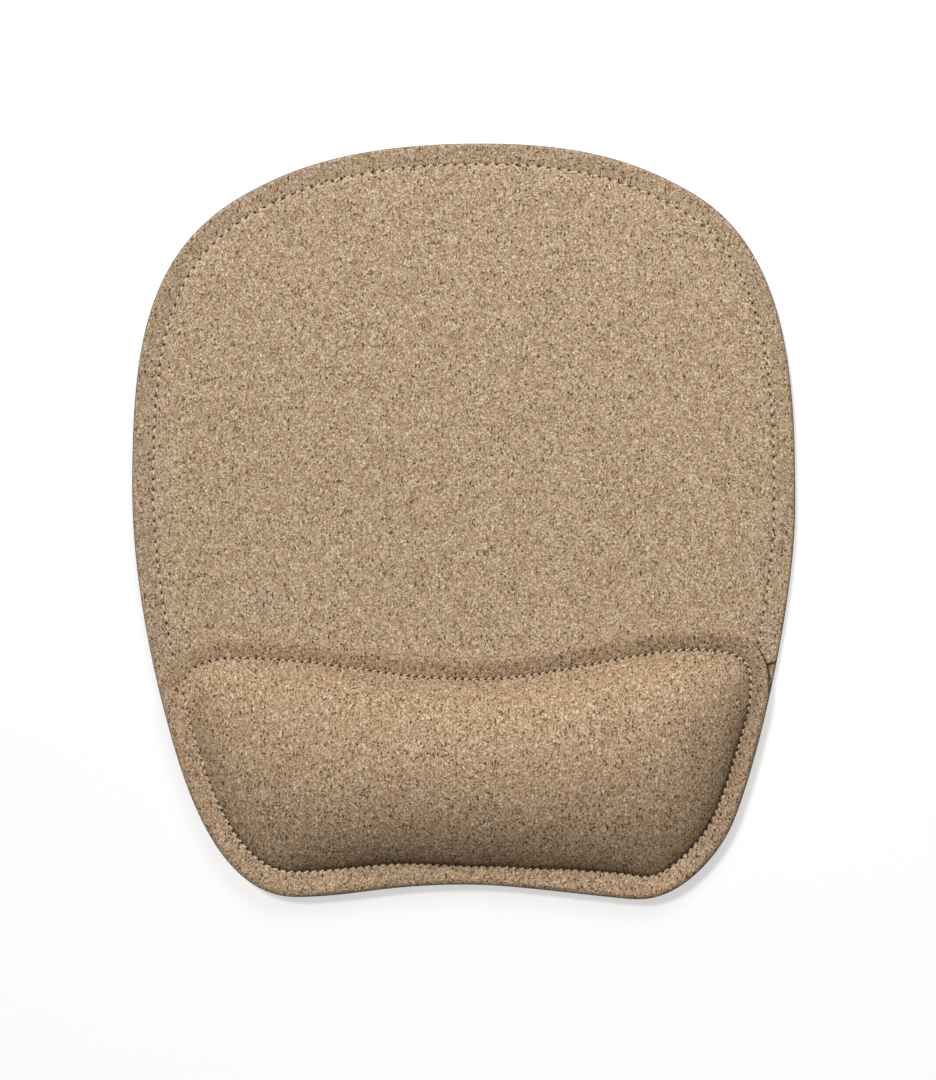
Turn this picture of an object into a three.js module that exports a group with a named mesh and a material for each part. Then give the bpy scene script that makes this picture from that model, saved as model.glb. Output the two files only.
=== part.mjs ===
// A cork-covered mouse pad with a padded wrist rest sewn as a cushion and stuck along its front.
// Sizes are in millimetres. X runs to the right, Y away from the hand and Z up.
// The origin is on the underside, in the middle of the outline.
import * as THREE from "three";

// Pad, from the floor up
const padWidth = 200;
const padLength = 228;
const baseThickness = 1.2;
const padFoamThickness = 2;
const corkThickness = 0.7;
const layerGap = 0.1;
const baseReveal = 0.3; // the rubber base shows this far past the cork
const padEdgeRound = 0.9;
const padRimDrop = 0.1; // the pad's rim lies this far under its flat top
const padSeamInset = 6.5; // from the edge to the pad's stitches
const padSeamDepth = 0.6;
const padSeamLip = 2.2; // from the stitches' channel up to the flat top

// Wrist rest
const wristSetback = 0.5; // from the pad's edge to the wrist rest's edge
const wristSideDepth = 57; // from the pad's front to where the back edge leaves the side
const wristRightLobeDepth = 82;
const wristLeftLobeDepth = 78.5;
const wristDipDepth = 73;
const wristSeamAllowance = 7;
const wristHeight = 20; // from the pad's top to the cushion's crest
const tapeThickness = 0.5;
const tapeMargin = 10; // from the wrist rest's edge to the tape
const backingThickness = 0.3;
const squeezedFoam = 0.2; // foam left under the stitches
const flangeRise = 1.4; // from the stitches' channel up to the flange's rim
const flangeRound = 1.5;

// Thread
const threadWidth = 0.7;
const threadHeight = 0.5;
const threadGap = 0.1;

// Outline of the pad, anticlockwise from the back: place, handle ahead, length of the handle behind.
// Places and handles are shares of half the width and half the length.
const padOutlineShares = [
  [0.05, 1, -0.414, 0, 0.575],
  [-0.653, 0.869, -0.313, -0.149, 0.343],
  [-1, 0.086, 0, -0.349, 1.045],
  [-0.845, -0.676, 0.041, -0.099, 0.417],
  [-0.506, -0.994, 0.172, 0, 1.186],
  [0.01, -0.961, 0.155, 0, 1.69],
  [0.53, -1, 0.14, 0, 0.586],
  [0.806, -0.81, 0.089, 0.175, 0.306],
  [1, 0.032, 0, 0.271, 0.812],
  [0.703, 0.862, -0.211, 0.114, 1.427],
];

// Back edge of the wrist rest: where its lobes and its dip lie across half the width
const rightLobeShare = 0.7;
const dipShare = 0.03;
const leftLobeShare = -0.68;
const waveHandleShare = 0.33; // of the way from a lobe to the dip
const cornerAheadShare = 0.68; // of the rise from the side to the lobe
const cornerBehindShare = 0.8;

// Width of the flange round the wrist rest, as shares of the seam allowance,
// at shares of the way round from where the back edge leaves the right side.
const allowanceShares = [
  [0, 0.96],
  [0.09, 1],
  [0.26, 0.97],
  [0.42, 1],
  [0.52, 1.08],
  [0.66, 1.16],
  [0.77, 0.88],
  [0.89, 1.14],
  [1, 0.96],
];

// Crest of the cushion: shares of half the width, and of the right lobe's depth
const crestShares = [
  [-0.49, 0.685],
  [0.01, 0.555],
  [0.51, 0.685],
];
const crestEndShare = 0.81; // height of the crest's ends
const crownPower = 3; // steepens the cushion towards its seam and flattens it towards the crest
const coverCrownRings = 5;
const foamCrownRings = 3;
const crownRingShare = 0.94; // the last ring's way from the seam to the crest
const crownRingPower = 1.7; // closes the rings up towards the seam

// Points round an outline
const padPoints = 88;
const wristPoints = 62;
const finePoints = 720;
const turnShare = 0.5; // of the points, spent where the outline turns

// Levels
const baseTop = baseThickness;
const padFoamTop = baseTop + padFoamThickness;
const padTop = padFoamTop + layerGap + corkThickness;
const padRim = padTop - padRimDrop;
const padSeamLevel = padTop - padSeamDepth;
const tapeTop = padTop + tapeThickness;
const backingTop = tapeTop + backingThickness;
const wristSeamLevel = backingTop + squeezedFoam + layerGap + corkThickness;
const flangeRim = wristSeamLevel + flangeRise;
const crownRise = padTop + wristHeight - wristSeamLevel;
const channelHalf = threadWidth / 2 + threadGap;

// A closed outline through knots given as in padOutlineShares.
function outlineThrough(rows, halfWidth, halfLength) {
  const knots = rows.map(([x, y, aheadX, aheadY, behind]) => ({
    place: new THREE.Vector2(x * halfWidth, y * halfLength),
    ahead: new THREE.Vector2(aheadX * halfWidth, aheadY * halfLength),
    behind,
  }));
  const path = new THREE.Path();
  path.moveTo(knots[0].place.x, knots[0].place.y);
  knots.forEach((knot, i) => {
    const next = knots[(i + 1) % knots.length];
    const leave = knot.place.clone().add(knot.ahead);
    const arrive = next.place.clone().addScaledVector(next.ahead, -next.behind);
    path.bezierCurveTo(leave.x, leave.y, arrive.x, arrive.y, next.place.x, next.place.y);
  });
  return path;
}

// Points round a closed path: part of them by length, the rest where it turns.
function pointsRound(path, count) {
  const fine = path.getSpacedPoints(finePoints);
  fine.pop();
  const edges = fine.map((p, i) => fine[(i + 1) % fine.length].clone().sub(p));
  const turns = edges.map((edge, i) => {
    const next = edges[(i + 1) % edges.length];
    return Math.abs(Math.atan2(edge.cross(next), edge.dot(next)));
  });
  const length = edges.reduce((sum, edge) => sum + edge.length(), 0);
  const turn = turns.reduce((sum, angle) => sum + angle, 0);
  const points = [];
  let passed = 0;
  edges.forEach((edge, i) => {
    const step = ((1 - turnShare) * edge.length()) / length + (turnShare * turns[i]) / turn;
    while (points.length < count && points.length / count < passed + step) {
      const along = (points.length / count - passed) / step;
      points.push(fine[i].clone().addScaledVector(edge, along));
    }
    passed += step;
  });
  return points;
}

// The same points moved in from an anticlockwise outline, each edge by the same distance.
// The distance may also be a function of the point's number.
function inset(points, distance) {
  const normals = points.map((p, i) => {
    const edge = points[(i + 1) % points.length].clone().sub(p).normalize();
    return new THREE.Vector2(-edge.y, edge.x);
  });
  return points.map((p, i) => {
    const before = normals[(i + points.length - 1) % points.length];
    const after = normals[i];
    const far = typeof distance === "function" ? distance(i) : distance;
    const reach = far / (1 + before.dot(after));
    return p.clone().addScaledVector(before, reach).addScaledVector(after, reach);
  });
}

// A ring of points at one level.
function ringAt(points, level) {
  return points.map((p) => new THREE.Vector3(p.x, p.y, level));
}

// Faces between neighbouring rings, all of one count and anticlockwise seen from above.
// Rings that run downwards split their faces the other way, so that two skins stay parallel.
function strips(ringCount, count, closed, downwards) {
  const faces = [];
  const last = closed ? ringCount : ringCount - 1;
  for (let r = 0; r < last; r++) {
    const above = (r + 1) % ringCount;
    for (let i = 0; i < count; i++) {
      const next = (i + 1) % count;
      const [a, b] = [r * count + i, r * count + next];
      const [c, d] = [above * count + next, above * count + i];
      faces.push(...(r < downwards ? [a, b, d, b, c, d] : [a, b, c, a, c, d]));
    }
  }
  return faces;
}

// Faces that fill the ring made from an outline's points, looking up or down. They run from the
// leftmost point to the rightmost, each to the next point of the front or the back, the nearer first.
function cap(outline, first, up) {
  const count = outline.length;
  const across = outline.map((p) => p.x);
  let back = across.indexOf(Math.min(...across));
  let front = (back + 1) % count;
  const faces = [];
  while ((front + 1) % count !== back) {
    const frontNext = (front + 1) % count;
    const backNext = (back + count - 1) % count;
    const frontFirst = across[frontNext] < across[backNext];
    const third = frontFirst ? frontNext : backNext;
    const face = up ? [front, third, back] : [front, back, third];
    faces.push(...face.map((i) => first + i));
    if (frontFirst) front = frontNext;
    else back = backNext;
  }
  return faces;
}

function meshOf(name, material, rings, faces) {
  const geometry = new THREE.BufferGeometry();
  const values = rings.flat().flatMap((p) => [p.x, p.y, p.z]);
  geometry.setAttribute("position", new THREE.Float32BufferAttribute(values, 3));
  geometry.setIndex(faces);
  geometry.computeVertexNormals();
  const mesh = new THREE.Mesh(geometry, material);
  mesh.name = name;
  return mesh;
}

// A solid of rings made from one outline: the first is filled looking down, the last looking up.
// The first rings may run downwards, as many as said.
function loft(name, material, outline, rings, downwards = 0) {
  const count = outline.length;
  const faces = [
    ...cap(outline, 0, false),
    ...strips(rings.length, count, false, downwards),
    ...cap(outline, (rings.length - 1) * count, true),
  ];
  return meshOf(name, material, rings, faces);
}

// A thread laid round a seam, flat where it rests on the level below it.
function threadRing(name, material, seam, level) {
  const half = threadWidth / 2;
  const shoulder = threadWidth / 4;
  const rings = [
    ringAt(inset(seam, shoulder), level),
    ringAt(inset(seam, -shoulder), level),
    ringAt(inset(seam, -half), level + threadHeight / 2),
    ringAt(seam, level + threadHeight),
    ringAt(inset(seam, half), level + threadHeight / 2),
  ];
  return meshOf(name, material, rings, strips(rings.length, seam.length, true, 0));
}

// A flat sheet between two levels.
function sheet(name, material, outline, bottom, top) {
  return loft(name, material, outline, [ringAt(outline, bottom), ringAt(outline, top)]);
}

// Materials
const cork = new THREE.MeshStandardMaterial({ color: 0xb2997e, roughness: 0.85, metalness: 0 });
const rubber = new THREE.MeshStandardMaterial({ color: 0x2e3338, roughness: 0.9, metalness: 0 });
const foam = new THREE.MeshStandardMaterial({ color: 0xd9d3c6, roughness: 1, metalness: 0 });
const backing = new THREE.MeshStandardMaterial({ color: 0x4a4a48, roughness: 0.95, metalness: 0 });
const tape = new THREE.MeshStandardMaterial({ color: 0xe6e4dc, roughness: 0.6, metalness: 0 });
const thread = new THREE.MeshStandardMaterial({ color: 0xcdb79a, roughness: 0.7, metalness: 0 });

const padPath = outlineThrough(padOutlineShares, padWidth / 2, padLength / 2);
const padEdge = pointsRound(padPath, padPoints);
const padSeam = inset(padEdge, padSeamInset);

// The pad's skin at a depth under its outer face, from the foot of its edge to its flat top.
function padSkin(depth) {
  const side = baseReveal + depth;
  const shoulder = baseReveal + padEdgeRound / 3 + depth / 2;
  const rimIn = baseReveal + padEdgeRound + depth / 2;
  const flatIn = padSeamInset + channelHalf + padSeamLip;
  return [
    ringAt(inset(padEdge, side), baseTop),
    ringAt(inset(padEdge, side), padRim - padEdgeRound - depth / 2),
    ringAt(inset(padEdge, shoulder), padRim - padEdgeRound / 3 - depth),
    ringAt(inset(padEdge, rimIn), padRim - depth),
    ringAt(inset(padSeam, -channelHalf), padSeamLevel - depth),
    ringAt(inset(padSeam, channelHalf), padSeamLevel - depth),
    ringAt(inset(padEdge, flatIn), padTop - depth),
  ];
}

// The wrist rest's edge: the pad's own edge round the front, and a waved edge across the back.
function wristPath() {
  const front = -padLength / 2;
  const edge = inset(padPath.getSpacedPoints(finePoints).slice(0, -1), wristSetback);
  const along = edge.filter((p) => p.y < front + wristSideDepth);
  const path = new THREE.Path().setFromPoints(along);
  const start = along[0];
  const end = along[along.length - 1];
  const rightWay = end.clone().sub(along[along.length - 2]).normalize();
  const leftWay = along[1].clone().sub(start).normalize();
  const right = new THREE.Vector2((rightLobeShare * padWidth) / 2, front + wristRightLobeDepth);
  const dip = new THREE.Vector2((dipShare * padWidth) / 2, front + wristDipDepth);
  const left = new THREE.Vector2((leftLobeShare * padWidth) / 2, front + wristLeftLobeDepth);
  const rightRise = wristRightLobeDepth - wristSideDepth;
  const leftRise = wristLeftLobeDepth - wristSideDepth;
  const rightOut = end.clone().addScaledVector(rightWay, cornerAheadShare * rightRise);
  const leftIn = start.clone().addScaledVector(leftWay, -cornerAheadShare * leftRise);
  const rightWave = waveHandleShare * (right.x - dip.x);
  const leftWave = waveHandleShare * (dip.x - left.x);
  const rightCorner = right.x + cornerBehindShare * rightRise;
  const leftCorner = left.x - cornerBehindShare * leftRise;
  path.bezierCurveTo(rightOut.x, rightOut.y, rightCorner, right.y, right.x, right.y);
  path.bezierCurveTo(right.x - rightWave, right.y, dip.x + rightWave, dip.y, dip.x, dip.y);
  path.bezierCurveTo(dip.x - leftWave, dip.y, left.x + leftWave, left.y, left.x, left.y);
  path.bezierCurveTo(leftCorner, left.y, leftIn.x, leftIn.y, start.x, start.y);
  return { path, corner: end };
}

const { path: wristOutline, corner: wristCorner } = wristPath();
const wristEdge = pointsRound(wristOutline, wristPoints);

// The way round to each point of the wrist rest, as a share from the right corner.
function shareRound(points, origin) {
  let total = 0;
  const lengths = points.map((p, i) => {
    const here = total;
    total += p.distanceTo(points[(i + 1) % points.length]);
    return here;
  });
  const distances = points.map((p) => p.distanceTo(origin));
  const first = lengths[distances.indexOf(Math.min(...distances))];
  return lengths.map((here) => ((here - first + total) % total) / total);
}

// The width of the flange at a share of the way round.
function allowanceAt(share) {
  const row = allowanceShares.findIndex(([place]) => place > share);
  const [from, low] = allowanceShares[row - 1];
  const [to, high] = allowanceShares[row];
  const eased = THREE.MathUtils.smoothstep(share, from, to);
  return wristSeamAllowance * THREE.MathUtils.lerp(low, high, eased);
}

const allowances = shareRound(wristEdge, wristCorner).map(allowanceAt);
const wristSeam = inset(wristEdge, (i) => allowances[i]);

// The crest line, with the cushion's height along it.
const crestLine = new THREE.SplineCurve(
  crestShares.map(
    ([x, y]) => new THREE.Vector2((x * padWidth) / 2, y * wristRightLobeDepth - padLength / 2),
  ),
).getSpacedPoints(finePoints);

// The point of the crest nearest to each point of the seam, with the crown's rise there.
const crest = wristSeam.map((p) => {
  const distances = crestLine.map((q) => q.distanceTo(p));
  const nearest = distances.indexOf(Math.min(...distances));
  const off = (2 * nearest) / finePoints - 1;
  return { place: crestLine[nearest], rise: crownRise * (1 - (1 - crestEndShare) * off * off) };
});

// The cushion's height over its seam, as a share of its rise, part of the way from the seam to the crest.
function crownShare(way) {
  return 1 - (1 - way) ** crownPower;
}

// The wrist rest's skin at a depth under its outer face, from a level at its edge to its crest.
function wristSkin(depth, level, crownRings) {
  const shoulder = flangeRound / 3 + depth / 2;
  const rimIn = flangeRound + depth / 2;
  const foot = inset(wristSeam, channelHalf + depth);
  const rings = [
    ringAt(inset(wristEdge, depth), level),
    ringAt(inset(wristEdge, depth), flangeRim - flangeRound - depth / 2),
    ringAt(inset(wristEdge, shoulder), flangeRim - flangeRound / 3 - depth),
    ringAt(inset(wristEdge, rimIn), flangeRim - depth),
    ringAt(inset(wristSeam, -channelHalf), wristSeamLevel - depth),
  ];
  for (let k = 0; k <= crownRings; k++) {
    const way = crownRingShare * (k / crownRings) ** crownRingPower;
    rings.push(
      foot.map((p, i) => {
        const q = p.clone().lerp(crest[i].place, way);
        return new THREE.Vector3(q.x, q.y, wristSeamLevel - depth + crest[i].rise * crownShare(way));
      }),
    );
  }
  return rings;
}

// A cover of cork cloth: down its inner skin to the hem and back up over its outer skin.
function cover(name, outline, inner, outer) {
  return loft(name, cork, outline, [...inner].reverse().concat(outer), inner.length);
}

// Rubber base with a channel under it for the lower thread.
function baseSheet() {
  const channelTop = threadHeight + threadGap;
  return loft("base_sheet", rubber, padEdge, [
    ringAt(inset(padSeam, channelHalf), 0),
    ringAt(inset(padSeam, channelHalf), channelTop),
    ringAt(inset(padSeam, -channelHalf), channelTop),
    ringAt(inset(padSeam, -channelHalf), 0),
    ringAt(padEdge, 0),
    ringAt(padEdge, baseTop),
  ]);
}

function padFoam() {
  return loft("pad_foam_core", foam, padEdge, padSkin(corkThickness + layerGap));
}

function padCover() {
  return cover("pad_cork_cover", padEdge, padSkin(corkThickness), padSkin(0));
}

// Tape that holds the wrist rest, on the pad's flat top and inside both seams.
function tapeSheet() {
  return sheet("wrist_adhesive_sheet", tape, inset(wristEdge, tapeMargin), padTop, tapeTop);
}

function backingSheet() {
  const outline = inset(wristEdge, corkThickness + layerGap);
  return sheet("wrist_backing_sheet", backing, outline, tapeTop, backingTop);
}

function wristFoam() {
  const skin = wristSkin(corkThickness + layerGap, backingTop, foamCrownRings);
  return loft("wrist_foam_core", foam, wristEdge, skin);
}

function wristCover() {
  const hem = padTop + layerGap;
  const inner = wristSkin(corkThickness, hem, foamCrownRings);
  const outer = wristSkin(0, hem, coverCrownRings);
  return cover("wrist_cork_cover", wristEdge, inner, outer);
}

const mousePad = new THREE.Group();
mousePad.add(
  baseSheet(),
  padFoam(),
  padCover(),
  threadRing("pad_needle_thread", thread, padSeam, padSeamLevel),
  threadRing("pad_bobbin_thread", thread, padSeam, threadGap / 2),
  tapeSheet(),
  backingSheet(),
  wristFoam(),
  wristCover(),
  threadRing("wrist_needle_thread", thread, wristSeam, wristSeamLevel),
  threadRing("wrist_bobbin_thread", thread, wristSeam, tapeTop - threadHeight),
);

export default mousePad;
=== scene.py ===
import math

import bpy
import numpy as np
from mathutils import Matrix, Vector, kdtree
from mathutils.geometry import delaunay_2d_cdt


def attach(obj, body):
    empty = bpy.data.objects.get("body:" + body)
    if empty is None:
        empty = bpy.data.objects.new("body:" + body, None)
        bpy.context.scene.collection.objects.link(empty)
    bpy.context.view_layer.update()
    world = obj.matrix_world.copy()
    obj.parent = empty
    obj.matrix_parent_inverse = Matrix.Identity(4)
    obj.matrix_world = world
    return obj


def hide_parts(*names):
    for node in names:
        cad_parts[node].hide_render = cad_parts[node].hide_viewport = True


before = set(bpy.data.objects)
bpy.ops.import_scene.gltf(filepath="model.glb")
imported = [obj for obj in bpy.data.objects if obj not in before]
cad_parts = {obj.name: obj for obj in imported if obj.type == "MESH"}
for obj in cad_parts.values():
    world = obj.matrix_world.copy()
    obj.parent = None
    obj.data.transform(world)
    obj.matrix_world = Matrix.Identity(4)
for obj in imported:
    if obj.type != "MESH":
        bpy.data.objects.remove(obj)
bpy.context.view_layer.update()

# Sizes are in millimetres here, and turned into metres when a mesh is made.
MM = 0.001

# Levels and thicknesses, the solids' own or close to them.
BASE_TOP = 1.2
PAD_TOP = 4.0
PAD_RIM = 3.92
PAD_GROOVE = 3.34
TAPE_TOP = 4.5
BACKING_TOP = 4.8
HEM = 4.1  # the underside of the cork where it is turned down round the wrist rest
WRIST_SEAM = 5.8
FLANGE_RIM = 7.2
CREST_TOP = 23.95
DOME_SKIN = 1.6  # so far under the dome lies the inner skin, and then the foam
DOME_FOAM = 2.2
EDGE_LEVEL = 5.7  # the level of the solids' ring round the wrist rest's edge
CORK = 0.7
GAP = 0.1

# Sizes across, the solids' own or close to them.
BASE_REVEAL = 0.3  # how far the rubber stands out from under the cork
CHANNEL_HALF = 0.45  # the lower thread's channel in the rubber: half its width, and how deep it is
CHANNEL_TOP = 0.6
PAD_ROUND = 0.9
PAD_SEAM_IN = 6.5
FLAT_IN = 9.2  # from the edge to where the pad is flat
FLANGE_ROUND = 1.5

# The sewing.
PAD_PITCH = 3.13
WRIST_PITCH = 2.32
PAD_GRID = 2.0  # how far apart the mesh's points are inside the seams
DOME_GRID = 1.7
COLUMNS = 12  # mesh columns to a stitch
COARSE = 4  # every fourth of them is enough away from the seams
FEW = 6  # and every sixth inside the cushion
DIAMOND = 1.6  # from corner to corner of the diamonds under the base
THREAD_R = 0.2
WRIST_THREAD_R = 0.21
HOLE_SLANT = 0.6  # the needle holes lean along the seam
LOOSE_PLACE = (7.3, -104)  # one stitch of the wrist rest stands off
LOOSE_STITCH = (-0.5, 0.45)  # so far inwards and up
STITCH_UNEVEN = 0.05

# The wrist rest's dome.
CREST_WAY = 0.37  # where the crest lies, as a part of the way from the back seam to the front one
CREST_BEND = -0.12  # what is added to that part towards the crest's ends
CREST_FALL = 0.16  # how much of its height it loses there
CREST_MIDDLE = 1
CREST_HALF = 45
CREST_ENDS = (-48, 50)
FRONT_POWER = 3.2  # the higher, the steeper the dome is at its seam and the flatter on top
BACK_POWER = 2.1
BACK_COVE = 1.4  # the width of the cove along the back
CORNER_SPAN = 5.0  # the dome is smoothed over so much
# where painted shade lies on the wrist rest's edge
EDGE_SHADE_PLACE = (91.8, -43.0)

# The cloth's simulation.
SIM_SCALE = 10  # it is simulated ten times as large, where the solver's masses suit it
SIM_START = 0.965  # the part of the dome's height that it starts from
SIM_LIMIT = 1.2
SIM_GRID = 3.2
SIM_SPAN = 1.6
SIM_FRAMES = 20

# The stage, with its lengths in metres but for the gap.
FLOOR_HALF = 3.0
FLOOR_GAP = 0.05  # just clear of the base's underside
LAMP_FAR = 0.7
CAMERA_FAR = 1.3
CAMERA_OVER = (0.0013, -0.0056)
PX_PER_M = 3322.0
PHOTO_TALL = 1080  # pixels


# Rings of points and closed curves.


def ring_at(name, level=None):
    """The points of a node at one level, its highest if none is given, anticlockwise."""
    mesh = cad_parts[name].data
    co = np.empty(len(mesh.vertices) * 3, np.float32)
    mesh.vertices.foreach_get("co", co)
    co = co.reshape(-1, 3).astype(float) / MM
    level = co[:, 2].max() if level is None else level
    flat = co[np.abs(co[:, 2] - level) < 0.01][:, :2]
    flat = np.unique(np.round(flat, 3), axis=0)
    middle = (flat.min(0) + flat.max(0)) / 2
    turn = np.arctan2(flat[:, 1] - middle[1], flat[:, 0] - middle[0])
    return flat[np.argsort(turn)]


def closed_spline(points, per_span=48):
    """A dense smooth closed curve through points."""
    n = len(points)
    after = np.linalg.norm(np.roll(points, -1, 0) - points, axis=1)
    before = np.roll(after, 1)
    rows = np.zeros((n, n))
    for i in range(n):
        rows[i, i - 1] += after[i]
        rows[i, i] += 2 * (after[i] + before[i])
        rows[i, (i + 1) % n] += before[i]
    back = (points - np.roll(points, 1, 0)) / before[:, None]
    ahead = (np.roll(points, -1, 0) - points) / after[:, None]
    slope = np.linalg.solve(rows, 3 * (after[:, None] * back + before[:, None] * ahead))
    w = (np.arange(per_span) / per_span)[None, :, None]
    h = after[:, None, None]
    p, q = points[:, None], np.roll(points, -1, 0)[:, None]
    m, k = slope[:, None] * h, np.roll(slope, -1, 0)[:, None] * h
    curve = (
        (2 * w**3 - 3 * w**2 + 1) * p
        + (w**3 - 2 * w**2 + w) * m
        + (3 * w**2 - 2 * w**3) * q
        + (w**3 - w**2) * k
    )
    return curve.reshape(-1, 2)


def lengths(curve):
    """How far along a closed curve each of its points is, and last its whole length."""
    step = np.linalg.norm(np.roll(curve, -1, 0) - curve, axis=1)
    return np.concatenate([[0], np.cumsum(step)])


def at(curve, along, where):
    """The curve's values at lengths along it, round and round."""
    total = along[-1]
    closed = np.vstack([curve, curve[:1]])
    where = np.mod(where, total)
    return np.stack([np.interp(where, along, closed[:, k]) for k in range(closed.shape[1])], 1)


def inward(curve):
    """The inward normal at each point of an anticlockwise closed curve."""
    ahead = np.roll(curve, -1, 0) - np.roll(curve, 1, 0)
    ahead /= np.linalg.norm(ahead, axis=1)[:, None]
    return np.stack([-ahead[:, 1], ahead[:, 0]], 1)


# Meshes.


class Skin:
    """Points and faces of one mesh, built ring by ring.

    marks holds how much painted shade of holes, seam lines and edges each point has, and shades its other
    traits.
    rolled_out holds the rings up the side, each as (its points, seam, every, distance from the edge, level),
    from the lowest up.
    """

    def __init__(self):
        self.points, self.faces, self.marks = [], [], []
        self.shades = {}
        self.rolled_out = []
        self.count = 0

    def ring(self, flat, level, mark=0.0):
        """Adds a ring of points, or any other points, and gives their numbers."""
        n = len(flat)
        level = np.broadcast_to(np.asarray(level, float), (n,))
        self.points.append(np.column_stack([flat, level]))
        self.marks.append(np.broadcast_to(np.asarray(mark, float), (n,)).copy())
        self.count += n
        return np.arange(self.count - n, self.count)

    def join(self, a, b):
        """Faces between ring a and the next ring b, whose counts are equal or one twice the other."""
        n, m = len(a), len(b)
        if n == m:
            corners = [(a, np.roll(a, -1), np.roll(b, -1), b)]
        elif n == 2 * m:
            a0, a1, a2 = a[0::2], a[1::2], np.roll(a, -2)[0::2]
            b1 = np.roll(b, -1)
            corners = [(a0, a1, b), (a1, b1, b), (a1, a2, b1)]
        else:
            b0, b1, b2 = b[0::2], b[1::2], np.roll(b, -2)[0::2]
            a1 = np.roll(a, -1)
            corners = [(a, a1, b1), (a, b1, b0), (a1, b2, b1)]
        self.faces += [f for c in corners for f in np.stack(c, 1).tolist()]
        return b

    def fill(self, ring, spacing, flip=False):
        """Triangles inside a ring, with points of their own on a triangular grid."""
        at_ring = self.array()[ring]
        flat = at_ring[:, :2]
        coords = [Vector(p) for p in np.vstack([flat, grid_inside(flat, spacing)])]
        n = len(ring)
        edges = [(i, (i + 1) % n) for i in range(n)]
        made = delaunay_2d_cdt(coords, edges, [], 1, 1e-6)
        new = np.array([list(v) for v in made[0]])
        own = np.full(len(new), -1)
        for k, origin in enumerate(made[3]):
            if origin and origin[0] < n:
                own[k] = ring[origin[0]]
        free = np.where(own < 0)[0]
        added = self.ring(new[free], at_ring[:, 2].mean())
        own[free] = added
        for face in made[2]:
            f = [int(own[v]) for v in face]
            p, q, r = (new[v] for v in face[:3])
            if (q[0] - p[0]) * (r[1] - p[1]) - (q[1] - p[1]) * (r[0] - p[0]) < 0:
                f = f[::-1]
            self.faces.append(f[::-1] if flip else f)
        return added

    def array(self):
        return np.vstack(self.points)

    def lay(self):
        """Each point where it lies in the flat cloth: its own place, but for the rings up the side."""
        places = self.array()
        if not self.rolled_out:
            return places
        rings, seams, steps, distances, levels = zip(*self.rolled_out)
        distances, levels = np.array(distances), np.array(levels)
        gone = np.hypot(np.diff(distances), np.diff(levels))[::-1].cumsum()[::-1]
        for ring, seam, every, far in zip(rings, seams, steps, distances[-1] - gone):
            places[ring, :2] = seam.from_edge(far, every)
            places[ring, 2] = levels[-1]
        return places


def inside(outline, places):
    """Which places lie inside a closed outline."""
    x, y = places[:, 0], places[:, 1]
    found = np.zeros(len(places), bool)
    for p, q in zip(outline, np.roll(outline, -1, 0)):
        cross = (p[1] > y) != (q[1] > y)
        if not cross.any():
            continue
        where = (q[0] - p[0]) * (y - p[1]) / (q[1] - p[1] + 1e-12) + p[0]
        found ^= cross & (x < where)
    return found


def grid_inside(outline, spacing):
    """Points of a triangular grid inside an outline, none of them close to it."""
    low, high = outline.min(0), outline.max(0)
    rows = np.arange(low[1], high[1], spacing * math.sqrt(3) / 2)
    places = []
    for k, y in enumerate(rows):
        xs = np.arange(low[0] + (k % 2) * spacing / 2, high[0], spacing)
        places.append(np.column_stack([xs, np.full(len(xs), y)]))
    places = np.vstack(places)
    coarse = outline[:: max(1, len(outline) // 400)]
    places = places[inside(coarse, places)]
    tree = tree_of(outline)
    keep = [tree.find((p[0], p[1], 0))[2] > 0.62 * spacing for p in places]
    return places[np.array(keep)]


def piece(name, skin, material, nodes):
    """A skin made into a piece on the body root, which stands for its solids."""
    mesh = bpy.data.meshes.new(name)
    points = skin.array() * MM
    mesh.from_pydata(points.tolist(), [], skin.faces)
    mesh.polygons.foreach_set("use_smooth", [True] * len(mesh.polygons))
    # the marks are painted shade in holes, along seam lines and on edges, kept as the attribute hole
    marks = np.concatenate(skin.marks).astype(np.float32)
    if marks.max() > 0:
        mesh.attributes.new("hole", "FLOAT", "POINT").data.foreach_set("value", marks)
    for shade, values in skin.shades.items():
        mesh.attributes.new(shade, "FLOAT", "POINT").data.foreach_set("value", values.astype(np.float32))
    lay = (skin.lay() * MM).astype(np.float32)
    mesh.attributes.new("lay", "FLOAT_VECTOR", "POINT").data.foreach_set("vector", lay.ravel())
    mesh.update()
    made = bpy.data.objects.new(name, mesh)
    bpy.context.scene.collection.objects.link(made)
    mesh.materials.append(material)
    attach(made, "root")
    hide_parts(*nodes)
    return made


def triangles_of(faces):
    """Faces of three or four corners, cut into triangles."""
    made = []
    for f in faces:
        made.append(f[:3])
        if len(f) == 4:
            made.append([f[0], f[2], f[3]])
    return np.array(made)


def tree_of(places):
    """A tree that finds the nearest of flat places."""
    tree = kdtree.KDTree(len(places))
    for k, p in enumerate(places):
        tree.insert((p[0], p[1], 0), k)
    tree.balance()
    return tree


# Materials.


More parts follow.
